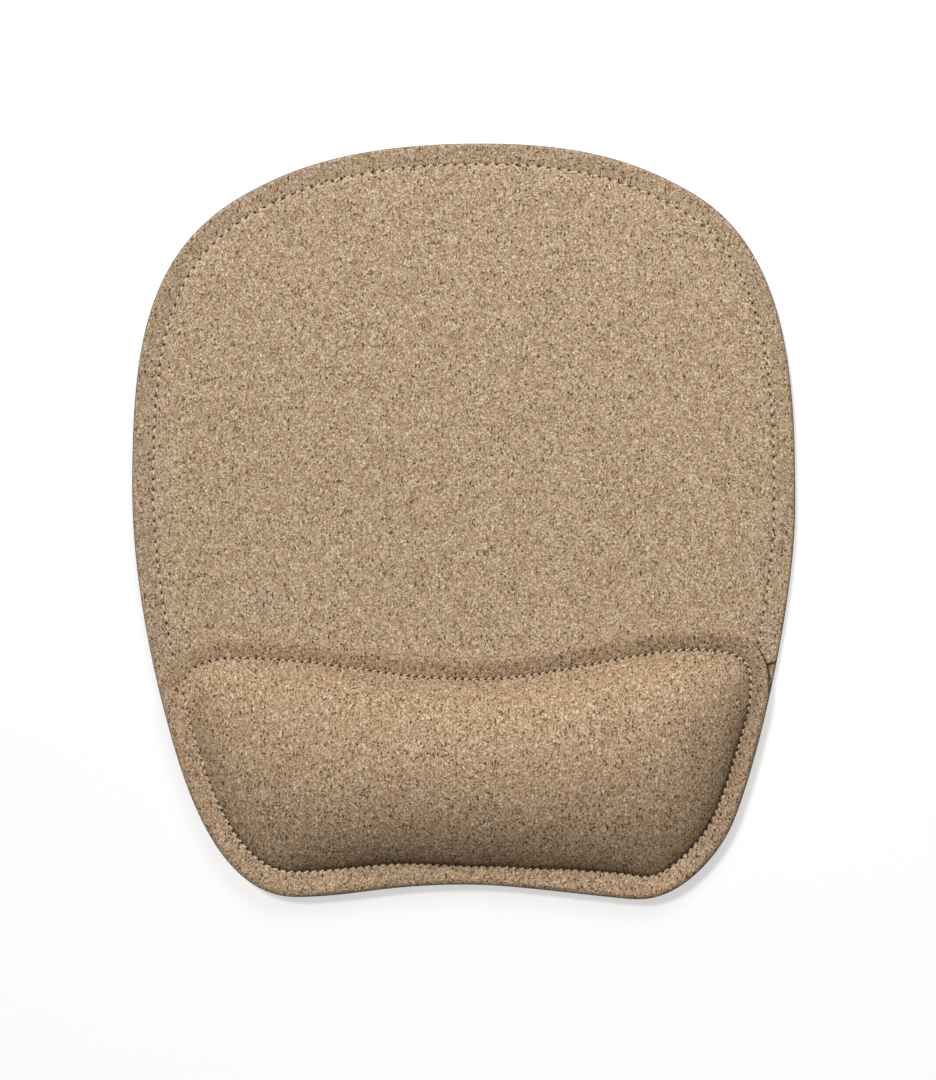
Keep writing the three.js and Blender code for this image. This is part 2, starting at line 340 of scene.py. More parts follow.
class Nodes:
    """A material's node tree, with short calls to add to it."""

    def __init__(self, name):
        self.material = bpy.data.materials.new(name)
        self.material.use_nodes = True
        self.tree = self.material.node_tree
        self.tree.nodes.clear()
        self.out = self.add("ShaderNodeOutputMaterial")

    def add(self, kind, inputs=None, **values):
        node = self.tree.nodes.new(kind)
        for key, value in values.items():
            setattr(node, key, value)
        for key, value in (inputs or {}).items():
            socket = node.inputs[key]
            if isinstance(value, bpy.types.NodeSocket):
                self.link(value, socket)
            else:
                socket.default_value = value
        return node

    def link(self, a, b):
        self.tree.links.new(a, b)

    def place(self, scale=(1, 1, 1)):
        """Places in millimetres, times scale, with the cloth up the sides rolled out flat."""
        lay = self.add("ShaderNodeAttribute", attribute_name="lay").outputs["Vector"]
        size = tuple(s / MM for s in scale)
        return self.add("ShaderNodeMapping", {"Vector": lay, "Scale": size}).outputs[0]

    def noise(self, vector, scale, detail=2, rough=0.5):
        inputs = {"Vector": vector, "Scale": scale, "Detail": detail, "Roughness": rough}
        return self.add("ShaderNodeTexNoise", inputs)

    def cells(self, vector, scale):
        return self.add("ShaderNodeTexVoronoi", {"Vector": vector, "Scale": scale})

    def parts(self, colour):
        return self.add("ShaderNodeSeparateColor", {0: colour}).outputs

    def attribute(self, name):
        return self.add("ShaderNodeAttribute", attribute_name=name).outputs["Fac"]

    def vector(self, operation, a, b):
        return self.add("ShaderNodeVectorMath", {0: a, 1: b}, operation=operation).outputs

    def math(self, operation, a, b=0.0):
        return self.add("ShaderNodeMath", {0: a, 1: b}, operation=operation).outputs[0]

    def span(self, value, low, high, to_low=0.0, to_high=1.0):
        """value's range from low to high, eased onto the range from to_low to to_high."""
        ranges = {"Value": value, "From Min": low, "From Max": high, "To Min": to_low, "To Max": to_high}
        return self.add("ShaderNodeMapRange", ranges, interpolation_type="SMOOTHSTEP").outputs[0]

    def mix(self, factor, a, b, blend="MIX"):
        inputs = {0: factor, 6: a, 7: b}  # 6 and 7 are its two colours
        return self.add("ShaderNodeMix", inputs, data_type="RGBA", blend_type=blend).outputs[2]

    def ramp(self, value, stops):
        node = self.add("ShaderNodeValToRGB", {"Fac": value})
        while len(node.color_ramp.elements) < len(stops):
            node.color_ramp.elements.new(0.5)
        for element, (where, colour) in zip(node.color_ramp.elements, stops):
            element.position, element.color = where, colour
        return node.outputs[0]

    def near_line(self, start, end, width):
        """1 on a line seen from above, 0 away from it. All in millimetres."""
        start, end = Vector((*start, 0)), Vector((*end, 0))
        ahead = (end - start).normalized()
        half = (end - start).length / 2
        off = self.vector("SUBTRACT", self.place(), (start + end) / 2)[0]
        mask = 1.0
        for axis, reach in ((ahead, half), (Vector((-ahead.y, ahead.x, 0)), 0.0)):
            far = self.math("ABSOLUTE", self.vector("DOT_PRODUCT", off, axis)["Value"])
            mask = self.math("MULTIPLY", mask, self.span(far, reach + width / 4, reach + width, 1.0, 0.0))
        return mask

    def surface(self, colour, roughness, normal, gloss):
        inputs = {"Base Color": colour, "Roughness": roughness, "Normal": normal, "Specular IOR Level": gloss}
        shader = self.add("ShaderNodeBsdfPrincipled", inputs)
        self.link(shader.outputs[0], self.out.inputs[0])
        return self.material

    def bump(self, height, distance, strength):
        inputs = {"Height": height, "Distance": distance * MM, "Strength": strength}
        return self.add("ShaderNodeBump", inputs).outputs[0]


def rgb(r, g, b):
    """A colour given as it shows on a screen, 0 to 255, turned linear."""
    def linear(c):
        c /= 255
        return c / 12.92 if c <= 0.04045 else ((c + 0.055) / 1.055) ** 2.4
    return (linear(r), linear(g), linear(b), 1)


# The cork: its granules to a millimetre, from fine to coarse, and how much each size weighs in the tone.
GRANULES = (4.3, 2.7, 1.2)
GRANULE_WEIGHTS = (0.54, 0.34, 0.08)
PATCHES = 0.35
PATCH_WEIGHT = 0.1
CORK_TONES = [
    (0.14, rgb(101, 80, 58)),
    (0.30, rgb(141, 114, 86)),
    (0.52, rgb(181, 153, 121)),
    (0.72, rgb(205, 182, 152)),
    (0.88, rgb(238, 222, 198)),
]
CORK_HUES = [(0.25, (1.03, 0.985, 0.92, 1)), (0.5, (1, 1, 1, 1)), (0.75, (0.985, 1.005, 1.04, 1))]
# Specks: how many to a millimetre, how their length from front to back counts, their size, how few there are,
# and their tone. The first are dark and round, the next dark and drawn out, and the last pale.
SPECKS = [
    (0.95, 1.0, 0.40, 0.66, rgb(52, 43, 31)),
    (0.80, 0.40, 0.30, 0.68, rgb(86, 62, 42)),
    (0.70, 0.60, 0.34, 0.84, rgb(230, 212, 186)),
]
SPECK_STRENGTH = 0.9
WRIST_TINT = (1.0, 0.965, 0.936, 1)
PAINTED_SHADE_DARK = 0.135
PAINTED_SHADE_TONE = rgb(26, 22, 18)

# Painted shade in two small creases in the pad's border, beside the wrist rest's right end: ends, width and
# how dark.
CREASE_SHADES = [
    ((91.9, -43.0), (94.8, -42.0), 0.45, 0.8),
    ((91.8, -43.1), (92.9, -42.6), 0.8, 0.9),
]


def cork_material():
    n = Nodes("cork_cloth")
    # granules are longer from front to back, and height counts for half as much as length on the slopes
    base = n.place((1.0, 0.74, 0.5))
    wobble = n.noise(base, 1.8).outputs["Color"]
    shift = n.vector("SUBTRACT", wobble, (0.5, 0.5, 0.5))[0]
    shift = n.vector("MULTIPLY", shift, (0.5, 0.5, 0.5))[0]
    place = n.vector("ADD", base, shift)[0]
    # each granule has a tone of its own
    tones = [n.parts(n.cells(place, size).outputs["Color"]) for size in GRANULES]
    value = n.math("MULTIPLY", n.noise(base, PATCHES).outputs["Fac"], PATCH_WEIGHT)
    for tone, weight in zip(tones, GRANULE_WEIGHTS):
        value = n.math("ADD", value, n.math("MULTIPLY", tone[0], weight))
    colour = n.ramp(value, CORK_TONES)
    # some granules are redder, some greyer
    fine, middle, coarse = tones
    hue = n.math("ADD", n.math("MULTIPLY", fine[1], 0.4), n.math("MULTIPLY", coarse[1], 0.6))
    colour = n.mix(1.0, colour, n.ramp(hue, CORK_HUES), "MULTIPLY")
    # there are more specks on the wrist rest, and more where the painted shade lies
    warm, painted_shade = n.attribute("warm"), n.attribute("painted_shade")
    more = n.math("ADD", n.math("MULTIPLY", warm, 0.08), n.math("MULTIPLY", painted_shade, 0.06))
    for part, (scale, stretch, size, share, tone) in enumerate(SPECKS):
        drawn = n.vector("ADD", n.place((1.0, stretch, 0.5)), shift)[0]
        specks = n.cells(drawn, scale)
        pick = n.parts(specks.outputs["Color"])[part]
        near = n.span(specks.outputs["Distance"], size * 0.5, size, 1.0, 0.0)
        chosen = n.span(n.math("ADD", pick, more), share, share + 0.2)
        speck = n.math("MULTIPLY", near, chosen)
        colour = n.mix(n.math("MULTIPLY", speck, SPECK_STRENGTH), colour, tone)
    # the wrist rest's cork is tinted a little warmer, and painted shade darkens the cloth round the cushion,
    # on the pad's border and low on the dome
    colour = n.mix(warm, colour, WRIST_TINT, "MULTIPLY")
    colour = n.mix(n.math("MULTIPLY", painted_shade, PAINTED_SHADE_DARK), colour, (0, 0, 0, 1))
    # painted shade, all in one dark tone: in the needle holes, along the seams, on the flange's edge and in
    # the creases
    hole = n.attribute("hole")
    for start, end, width, depth in CREASE_SHADES:
        hole = n.math("MAXIMUM", hole, n.math("MULTIPLY", n.near_line(start, end, width), depth))
    colour = n.mix(hole, colour, PAINTED_SHADE_TONE)
    height = n.math("ADD", n.math("MULTIPLY", fine[0], 0.5), n.math("MULTIPLY", middle[0], 0.4))
    return n.surface(colour, n.span(middle[0], 0.0, 1.0, 0.72, 0.9), n.bump(height, 0.05, 0.5), 0.2)


def grained(name, colour, roughness, scale, depth, amount):
    """One colour with a grain: so many grains to a millimetre, their depth, and how much they lighten it."""
    n = Nodes(name)
    grain = n.noise(n.place(), scale, 4, 0.6).outputs["Fac"]
    dark = tuple(c * (1 - amount) for c in colour[:3]) + (1,)
    light = tuple(min(1, c * (1 + amount)) for c in colour[:3]) + (1,)
    shade = n.ramp(grain, [(0.35, dark), (0.65, light)])
    return n.surface(shade, roughness, n.bump(grain, depth, 0.6), 0.3)


def rubber_material():
    n = Nodes("base_rubber")
    place = n.place()
    grain = n.noise(place, 1.5, 4, 0.6).outputs["Fac"]
    # small diamonds stand out of the underside, against slipping
    x, y, _ = n.add("ShaderNodeSeparateXYZ", {0: place}).outputs
    sides = [n.math(sign, x, y) for sign in ("ADD", "SUBTRACT")]
    waves = [n.math("SINE", n.math("MULTIPLY", side, math.pi / DIAMOND)) for side in sides]
    diamond = n.span(n.math("MULTIPLY", *waves), -0.5, 0.5)
    normal = n.add("ShaderNodeNewGeometry").outputs["True Normal"]
    facing = n.add("ShaderNodeSeparateXYZ", {0: normal}).outputs[2]
    diamond = n.math("MULTIPLY", diamond, n.span(facing, -0.9, -0.6, 1.0, 0.0))
    shade = n.ramp(grain, [(0.35, rgb(52, 59, 68)), (0.65, rgb(63, 72, 83))])
    shade = n.mix(n.math("MULTIPLY", diamond, 0.25), shade, rgb(90, 98, 108))
    height = n.math("ADD", n.math("MULTIPLY", grain, 0.5), diamond)
    return n.surface(shade, 0.85, n.bump(height, 0.2, 0.6), 0.3)


def thread_material():
    n = Nodes("thread")
    grain = n.noise(n.place(), 5.0, 4, 0.6).outputs["Fac"]
    # the thread's pale trait paints it lighter or darker round the wrist rest's seam, in place of its light
    # and shade
    colour = n.mix(n.attribute("pale"), rgb(176, 149, 116), rgb(255, 243, 216))
    grain_and_painted_shade = n.ramp(grain, [(0.35, (0.88, 0.88, 0.88, 1)), (0.65, (1.06, 1.06, 1.06, 1))])
    colour = n.mix(1.0, colour, grain_and_painted_shade, "MULTIPLY")
    return n.surface(colour, 0.7, n.bump(grain, 0.05, 0.6), 0.3)


CORK_CLOTH = cork_material()
RUBBER = rubber_material()
FOAM = grained("foam", rgb(217, 211, 198), 0.95, 2.0, 0.2, 0.08)
BACKING = grained("backing_cloth", rgb(74, 74, 72), 0.95, 2.0, 0.1, 0.2)
TAPE = grained("tape", rgb(230, 228, 220), 0.6, 0.6, 0.02, 0.05)
THREAD = thread_material()


# Seams.


class Seam:
    """Stitches evenly spaced round a closed curve, with mesh columns between them."""

    def __init__(self, line, edge, pitch, first, traits):
        """line and edge are dense closed curves of one count: the stitches' own, and the piece's edge.

        traits has a row for each of their points: how far the thread stands up there, half the length of the
        needle holes, how much painted shade lies along the seam between them, how pale the thread is painted
        (lighter or darker in place of its light and shade), and how much painted shade lies on the cloth
        outside the seam.
        """
        along = lengths(line)
        nearest = np.argmin(np.linalg.norm(line - np.array(first), axis=1))
        start = along[nearest]
        self.stitches = int(round(along[-1] / pitch))
        self.pitch = along[-1] / self.stitches
        self.count = self.stitches * COLUMNS
        where = start + np.arange(self.count) * self.pitch / COLUMNS
        both = at(np.hstack([line, edge, inward(line), traits]), along, where)
        self.line, self.edge, self.normal, self.traits = both[:, :2], both[:, 2:4], both[:, 4:6], both[:, 6:]
        self.normal /= np.linalg.norm(self.normal, axis=1)[:, None]
        self.out = self.line - self.edge
        self.width = np.linalg.norm(self.out, axis=1)
        self.out = self.out / self.width[:, None]
        self.phase = (np.arange(self.count) % COLUMNS) / COLUMNS
        self.ahead = ((self.phase + 0.5) % 1 - 0.5) * self.pitch  # past the nearest hole
        self.off = np.abs(self.ahead)
        self.along, self.start, self.raw = along, start, np.hstack([line, inward(line), traits])

    def from_edge(self, distance, every=1):
        """The ring at a distance inside the piece's edge, or every so many of its points."""
        distance = np.broadcast_to(distance, (self.count,))
        return (self.edge + self.out * distance[:, None])[::every]

    def from_seam(self, distance, every=1):
        """The ring at a distance inside the seam, outside it if negative."""
        distance = np.broadcast_to(distance, (self.count,))
        return (self.line + self.normal * distance[:, None])[::every]


def paired(edge, seam):
    """The seam's knots put in step with the edge's."""
    first = np.argmin(np.linalg.norm(seam - edge[0], axis=1))
    return np.roll(seam, -first, 0)


def spread(curve, places):
    """Values given at a few places near a closed curve, spread smoothly over all its points."""
    along = lengths(curve)
    places = np.array(places, float)
    where = np.array([along[np.argmin(np.linalg.norm(curve - p, axis=1))] for p in places[:, :2]])
    order = np.argsort(where)
    where, values = where[order], places[order, 2:]
    where = np.concatenate([where[-1:] - along[-1], where, where[:1] + along[-1]])
    values = np.vstack([values[-1:], values, values[:1]])
    after = np.searchsorted(where, along[:-1], side="right")
    part = (along[:-1] - where[after - 1]) / (where[after] - where[after - 1])
    part = (part * part * (3 - 2 * part))[:, None]
    return values[after - 1] * (1 - part) + values[after] * part


def needle_hole(seam, t, wide):
    """1 in the middle of a needle hole, 0 outside it, at a distance t from the seam."""
    far = np.hypot((seam.ahead + HOLE_SLANT * t) / seam.traits[:, 1], t / wide)
    return np.clip((1.07 - far) / 0.35, 0, 1)


def seam_shade(seam, t):
    """The seam's painted shade at a distance t from it: in its holes, and along the line between them."""
    line = seam.traits[:, 2] * math.exp(-(((t - 0.45) / 0.55) ** 2))
    return np.maximum(needle_hole(seam, t, 0.32), line)


def dimple(seam, t, long, wide):
    """1 at each needle hole, less with the way from it along the seam and with the distance t."""
    return np.exp(-((seam.off / long) ** 2) - (t / wide) ** 2)


# Where each seam's stitches start, and its traits, as Seam says. The wrist rest's are given at places round
# it: x and y, how far outside its mean line it runs there, and then the traits.
PAD_FIRST = (-2.65, 107.2)
PAD_TRAITS = [0, 0.48, 0, 0.75, 0.7]
WRIST_FIRST = (0, -103.5)
WRIST_PLACES = [
    (0, -102, 1.5, -0.08, 0.50, 0.45, 0.25, 0.6),
    (16, -104, 0.5, 0.06, 0.45, 0.45, 0.60, 0.6),
    (34, -105, -0.4, -0.04, 0.45, 0.50, 0.35, 0.6),
    (46, -106, -0.4, -0.08, 0.50, 0.50, 0.35, 0.6),
    (60, -104, 1.5, -0.08, 0.55, 0.50, 0.35, 0.7),
    (72, -90, 1.8, -0.14, 0.60, 0.45, 0.20, 2.2),
    (83, -58, 1.5, -0.12, 0.70, 0.50, 0.35, 2.8),
    (85, -48, 1.2, 0.02, 0.50, 0.25, 0.75, 2.8),
    (78, -40, 0.3, 0.04, 0.44, 0.10, 0.80, 2.2),
    (34, -44, 0.1, 0.04, 0.46, 0.05, 0.68, 2.2),
    (-12, -47, 0.3, 0.06, 0.48, 0.05, 0.68, 1.5),
    (-50, -43, 1.2, 0.06, 0.46, 0.05, 0.72, 0.9),
    (-76, -43, 1.3, 0.04, 0.44, 0.06, 0.70, 0.5),
    (-83, -52, 0.6, -0.02, 0.34, 0.03, 0.62, 0.3),
    (-76, -78, 1.0, -0.04, 0.34, 0.05, 0.62, 0.7),
    (-68, -94, 0.9, 0.06, 0.50, 0.30, 0.95, 0.5),
    (-48, -105, 0.5, 0.08, 0.50, 0.45, 1.00, 0.5),
    (-28, -103, 0.8, -0.06, 0.50, 0.50, 0.50, 0.6),
]

pad_outline = closed_spline(ring_at("base_sheet"))
pad_line = pad_outline + inward(pad_outline) * PAD_SEAM_IN
pad_traits = np.tile(PAD_TRAITS, (len(pad_line), 1))
pad = Seam(pad_line, pad_outline, PAD_PITCH, PAD_FIRST, pad_traits)

wrist_knots = ring_at("wrist_cork_cover", EDGE_LEVEL)
wrist_outline = closed_spline(wrist_knots)
wrist_line = closed_spline(paired(wrist_knots, ring_at("wrist_needle_thread")))
wrist_traits = spread(wrist_line, WRIST_PLACES)
wrist_line = wrist_line - inward(wrist_line) * wrist_traits[:, :1]
wrist = Seam(wrist_line, wrist_outline, WRIST_PITCH, WRIST_FIRST, wrist_traits[:, 1:])


# The pad.


def base_sheet():
    s = Skin()
    near, far = PAD_SEAM_IN - CHANNEL_HALF, PAD_SEAM_IN + CHANNEL_HALF
    last = s.ring(pad.from_edge(far + 0.1, COARSE), 0)
    s.fill(last, 6, flip=True)
    # the channel of the lower thread, the underside out to the edge, and the cut edge
    for d, z in [
        (far, 0.1), (far, CHANNEL_TOP), (near, CHANNEL_TOP), (near, 0.1), (near - 0.1, 0),
        (2.0, 0), (0.25, 0),
        (0.06, 0.08), (0, 0.25), (0, BASE_TOP - 0.15), (0.05, BASE_TOP - 0.03), (0.15, BASE_TOP),
    ]:
        last = s.join(last, s.ring(pad.from_edge(d, COARSE), z))
    s.fill(last, 8)
    piece("base_rubber_sheet", s, RUBBER, ["base_sheet"])


def pad_profile(t):
    """The pad's top at a distance t from its seam, inwards positive."""
    rim = PAD_SEAM_IN - BASE_REVEAL - PAD_ROUND
    if t < 0:
        return PAD_RIM - 0.45 * (t + rim) / rim - 0.13 * math.exp(-((t / 0.75) ** 2))
    return PAD_TOP - (PAD_TOP - PAD_GROOVE) * math.exp(-t / 1.05) - 0.13 * math.exp(-((t / 0.5) ** 2))


def pad_cover():
    s = Skin()
    side = BASE_REVEAL
    # the inner skin, from its flat middle out to the hem
    last = s.ring(pad.from_edge(FLAT_IN, COARSE), PAD_TOP - CORK)
    s.fill(last, 6, flip=True)
    for d, z in [
        (PAD_SEAM_IN + 0.5, PAD_GROOVE - CORK), (PAD_SEAM_IN - 0.5, PAD_GROOVE - CORK),
        (side + CORK + PAD_ROUND - 0.3, PAD_RIM - CORK),
        (side + CORK, PAD_RIM - CORK - 0.6), (side + CORK, BASE_TOP),
    ]:
        last = s.join(last, s.ring(pad.from_edge(d, COARSE), z))
    # up the side and round the edge
    edge = [(side + 0.05, BASE_TOP), (side, BASE_TOP + 0.06), (side - 0.05, 2.0), (side, PAD_RIM - PAD_ROUND)]
    for turn in (20, 40, 60, 78):
        a = math.radians(turn)
        edge.append((side + PAD_ROUND * (1 - math.cos(a)), PAD_RIM - PAD_ROUND * (1 - math.sin(a))))
    for d, z in edge:
        last = s.join(last, s.ring(pad.from_edge(d, COARSE), z))
        s.rolled_out.append((last, pad, COARSE, d, z))
    s.rolled_out.append(([], pad, COARSE, side + PAD_ROUND, PAD_RIM))
    # the border and the seam: rings at distances t from it, with every so many columns
    for t, every in [
        (-5.2, 4), (-4.4, 4), (-3.6, 4), (-2.8, 2), (-2.1, 2), (-1.6, 2), (-1.2, 1), (-0.9, 1),
        (-0.65, 1), (-0.42, 1), (-0.2, 1), (0, 1), (0.2, 1), (0.42, 1), (0.65, 1),
        (0.9, 1), (1.2, 1), (1.6, 2), (2.1, 2), (2.7, 4),
    ]:
        puff = 0.05 * np.sin(np.pi * pad.phase) ** 2 * math.exp(-((t / 1.4) ** 2))
        down = 0.42 * dimple(pad, t, 0.42, 0.3)
        z = pad_profile(t) + puff - down
        # painted shade in the needle holes
        hole = needle_hole(pad, t, 0.3)
        last = s.join(last, s.ring(pad.from_seam(t, every), z[::every], hole[::every]))
        if t == 0:
            border = s.count
    added = s.fill(last, PAD_GRID)
    points = s.array()
    # painted shade: the border outside the seam is a little darker
    s.shades["painted_shade"] = np.where(np.arange(s.count) < border, pad.traits[0, 4], 0.0)
    points[added, 2] = PAD_TOP
    s.points = [points]
    return piece("pad_cork_top", s, CORK_CLOTH, ["pad_cork_cover"])


def pad_foam():
    s = Skin()
    depth = CORK + GAP
    side = BASE_REVEAL + depth
    last = s.ring(pad.from_edge(side, COARSE), BASE_TOP + 0.01)
    s.fill(last, 8, flip=True)
    for d, z in [
        (side, PAD_RIM - PAD_ROUND - depth / 2), (side + 0.35, PAD_RIM - depth - 0.2),
        (side + 0.9, PAD_RIM - depth), (PAD_SEAM_IN - 0.5, PAD_GROOVE - depth),
        (PAD_SEAM_IN + 0.5, PAD_GROOVE - depth), (FLAT_IN, PAD_TOP - depth),
    ]:
        last = s.join(last, s.ring(pad.from_edge(d, COARSE), z))
    s.fill(last, 8)
    made = piece("pad_foam_slab", s, FOAM, ["pad_foam_core"])


# Thread.


def thread_along(name, seam, level, height, sway, steps, sides, radius, nodes, uneven=0.0, loose=None):
    """One thread round a seam. height and sway give it at each phase of a stitch, in millimetres.

    It has so many steps to a stitch and so many sides. uneven is how much its stitches differ, and loose the
    place of one that stands off the seam.
    """
    s = Skin()
    count = seam.stitches * steps
    every = np.arange(count) / steps
    phase = every % 1
    where = seam.start + every * seam.pitch
    both = at(seam.raw, seam.along, where)
    line, normal, lift = both[:, :2], both[:, 2:4], both[:, 4]
    normal /= np.linalg.norm(normal, axis=1)[:, None]
    own = np.random.default_rng(7).normal(0, uneven, (seam.stitches, 2))
    if loose:
        middles = line[steps // 2 :: steps]
        own[np.argmin(np.linalg.norm(middles - np.array(loose), axis=1))] = LOOSE_STITCH
    own = own[np.floor(every).astype(int)]
    over = np.sin(np.pi * phase) ** 2
    line = line + normal * (sway(phase) + own[:, 0] * over)[:, None]
    z = level + height(phase) + (lift + own[:, 1]) * over
    path = np.column_stack([line, z])
    ahead = np.roll(path, -1, 0) - np.roll(path, 1, 0)
    ahead /= np.linalg.norm(ahead, axis=1)[:, None]
    side = np.column_stack([normal, np.zeros(count)])
    up = np.cross(ahead, side)
    up *= np.sign(up[:, 2])[:, None]
    up /= np.linalg.norm(up, axis=1)[:, None]
    rings = []
    for k in range(sides):
        a = 2 * math.pi * k / sides
        ring = path + radius * (math.cos(a) * side + math.sin(a) * up)
        rings.append(s.ring(ring[:, :2], ring[:, 2]))
    for k in range(sides):
        s.join(rings[(k + 1) % sides], rings[k])
    s.shades["pale"] = np.tile(both[:, 7], sides)
    return piece(name, s, THREAD, nodes)


def stitch_wave(top, bottom, middle, half):
    """A stitch's height by phase: up over the cloth round middle, and under it elsewhere."""
    def height(phase):
        off = np.abs((phase - middle + 0.5) % 1 - 0.5)
        w = np.clip(1.5 - off / half, 0, 1)
        w = w * w * (3 - 2 * w)
        return bottom + (top - bottom) * w
    return height


def pad_sway(phase):
    return 0.14 * np.sin(2 * np.pi * (phase - 0.42))


def wrist_sway(phase):
    return -0.22 + 0.24 * np.sin(2 * np.pi * (phase - 0.5))


# The wrist rest.


def laplacian(points, triangles):
    """Edges (i, j, weight) of a flat mesh's cotangent Laplacian, and each point's area."""
    i, j, k = triangles.T
    rows = []
    area = np.zeros(len(points))
    for a, b, c in ((i, j, k), (j, k, i), (k, i, j)):
        u, v = points[b] - points[a], points[c] - points[a]
        cross = u[:, 0] * v[:, 1] - u[:, 1] * v[:, 0]
        rows.append((b, c, 0.5 * (u * v).sum(1) / np.maximum(cross, 1e-9)))
        area += np.bincount(a, cross / 6, len(points))
    return [np.concatenate(x) for x in zip(*rows)], area


def crown_heights(points, triangles, rim):
    """The dome's height over its seam at each point: the crest's, less with the way out to the seam."""
    outline = points[rim]
    xs = np.linspace(*CREST_ENDS, 60)
    left, right = outline[:, 0].argmin(), outline[:, 0].argmax()
    top = np.interp(xs, *side_of(outline, right, left))
    low = np.interp(xs, *side_of(outline, left, right))
    part = CREST_WAY + CREST_BEND * ((xs - CREST_MIDDLE) / CREST_HALF) ** 2
    crest = np.column_stack([xs, top - part * (top - low)])
    crest[:, 1] = np.polyval(np.polyfit(xs, crest[:, 1], 4), xs)
    # the nearest place on the crest
    start, step = crest[:-1], np.diff(crest, axis=0)
    off = points[:, None] - start[None]
    share = np.clip((off * step).sum(2) / (step * step).sum(1), 0, 1)
    gap = off - share[..., None] * step
    far = (gap * gap).sum(2)
    pick = far.argmin(1)
    row = np.arange(len(points))
    gap, far = gap[row, pick], np.sqrt(far[row, pick])
    foot = points - gap
    ahead = gap / np.maximum(far, 1e-6)[:, None]
    # how far the seam is from there, that way
    edge = outline[::8]
    reach = np.full(len(points), np.inf)
    for p, q in zip(edge, np.roll(edge, -1, 0)):
        r = q - p
        cross = ahead[:, 0] * r[1] - ahead[:, 1] * r[0]
        cross = np.where(np.abs(cross) < 1e-9, 1e-9, cross)
        w = p - foot
        along = (w[:, 0] * r[1] - w[:, 1] * r[0]) / cross
        part = (w[:, 0] * ahead[:, 1] - w[:, 1] * ahead[:, 0]) / cross
        good = (along > 0) & (part >= -0.001) & (part <= 1.001)
        reach = np.where(good & (along < reach), along, reach)
    way = np.clip(far / reach, 0, 1)
    way[rim] = 1
    way = np.clip(relaxed(points, triangles, way, rim, CORNER_SPAN), 0, 1)
    # the back and the left end slope less than the front
    behind = np.clip(0.5 + 0.8 * ahead[:, 1] - 0.35 * np.minimum(ahead[:, 0], 0), 0, 1)
    behind = behind * behind * (3 - 2 * behind)
    power = FRONT_POWER + (BACK_POWER - FRONT_POWER) * behind
    fall = 1 - CREST_FALL * ((foot[:, 0] - CREST_MIDDLE) / CREST_HALF) ** 2
    z = (1 - way**power) * fall
    # and the seam draws the cloth down in a cove there
    z *= 1 - behind * np.exp(-np.nan_to_num((1 - way) * reach) / BACK_COVE)
    z[rim] = 0
    return z * (CREST_TOP - WRIST_SEAM) / z.max()


def nearby(places, values, wanted):
    """Values at wanted places, from the three places nearest to each."""
    tree = tree_of(places)
    found = np.empty(len(wanted))
    for k, p in enumerate(wanted):
        near = tree.find_n((p[0], p[1], 0), 3)
        weight = np.array([1 / (far * far + 1e-4) for _, _, far in near])
        found[k] = weight @ values[[i for _, i, _ in near]] / weight.sum()
    return found


def filled_out(flat, triangles, height, rim):
    """The dome as its filling pushes the cloth out: a coarse patch held at the seam, under pressure."""
    ring = flat[rim[::16]]
    n = len(ring)
    coords = [Vector(p) for p in np.vstack([ring, grid_inside(ring, SIM_GRID)])]
    edges = [(i, (i + 1) % n) for i in range(n)]
    made = delaunay_2d_cdt(coords, edges, [], 1, 1e-6)
    spots = np.array([list(v) for v in made[0]])
    low = nearby(flat, height, spots) * SIM_START
    low[:n] = 0
    mesh = bpy.data.meshes.new("patch")
    start = np.column_stack([spots, low]) * MM * SIM_SCALE
    mesh.from_pydata(start.tolist(), [], [list(f) for f in made[2]])
    patch = bpy.data.objects.new("patch", mesh)
    bpy.context.scene.collection.objects.link(patch)
    held = patch.vertex_groups.new(name="held")
    held.add(list(range(n)), 1.0, "REPLACE")
    cloth = patch.modifiers.new("cloth", "CLOTH").settings
    cloth.vertex_group_mass = "held"
    cloth.mass = 0.1
    cloth.quality = 5
    cloth.tension_stiffness = cloth.compression_stiffness = 15
    cloth.shear_stiffness = 5
    cloth.bending_stiffness = 0.5
    cloth.use_pressure = True
    cloth.uniform_pressure_force = 4
    cloth.effector_weights.gravity = 0
    for number in range(1, SIM_FRAMES + 1):
        bpy.context.scene.frame_set(number)
    shape = patch.evaluated_get(bpy.context.evaluated_depsgraph_get()).to_mesh()
    co = np.empty(len(spots) * 3, np.float32)
    shape.vertices.foreach_get("co", co)
    pushed = co.reshape(-1, 3)[:, 2] / MM / SIM_SCALE
    bpy.context.scene.frame_set(1)
    bpy.data.objects.remove(patch)
    bpy.data.meshes.remove(mesh)
    move = np.clip(pushed - low, -SIM_LIMIT, SIM_LIMIT)
    out = height * SIM_START + relaxed(flat, triangles, nearby(spots, move, flat), rim, SIM_SPAN)
    return out * height.max() / out.max()


def relaxed(points, triangles, z, rim, span):
    """z smoothed over about span, and kept on the rim."""
    (i, j, w), area = laplacian(points, triangles)
    n = len(points)
    free = np.ones(n, bool)
    free[rim] = False
    diagonal = area + span**2 * (np.bincount(i, w, n) + np.bincount(j, w, n))
    x, b = z.copy(), area * z
    for _ in range(150):
        flow = w * (x[i] - x[j])
        left = b - area * x - span**2 * (np.bincount(i, flow, n) - np.bincount(j, flow, n))
        x += 0.8 * free * left / diagonal
    return x


def side_of(outline, a, b):
    """(x, y) of an outline from its point a round to its point b, put in order from left to right."""
    part = np.roll(outline, -a, 0)[: (b - a) % len(outline) + 1]
    order = np.argsort(part[:, 0])
    return part[order, 0], part[order, 1]


def seam_dip(t):
    """How deep the thread draws the wrist rest's cloth in, most of all at the needle holes."""
    taut = np.clip((wrist.traits[:, 1] - 0.2) / 0.3, 0.2, 1.1) * (1 - 0.9 * wrist.traits[:, 2])
    line = (0.12 + 0.18 * taut) * np.exp(-((t / 0.5) ** 2))
    return line + 0.3 * taut * dimple(wrist, t, 0.4, 0.34)


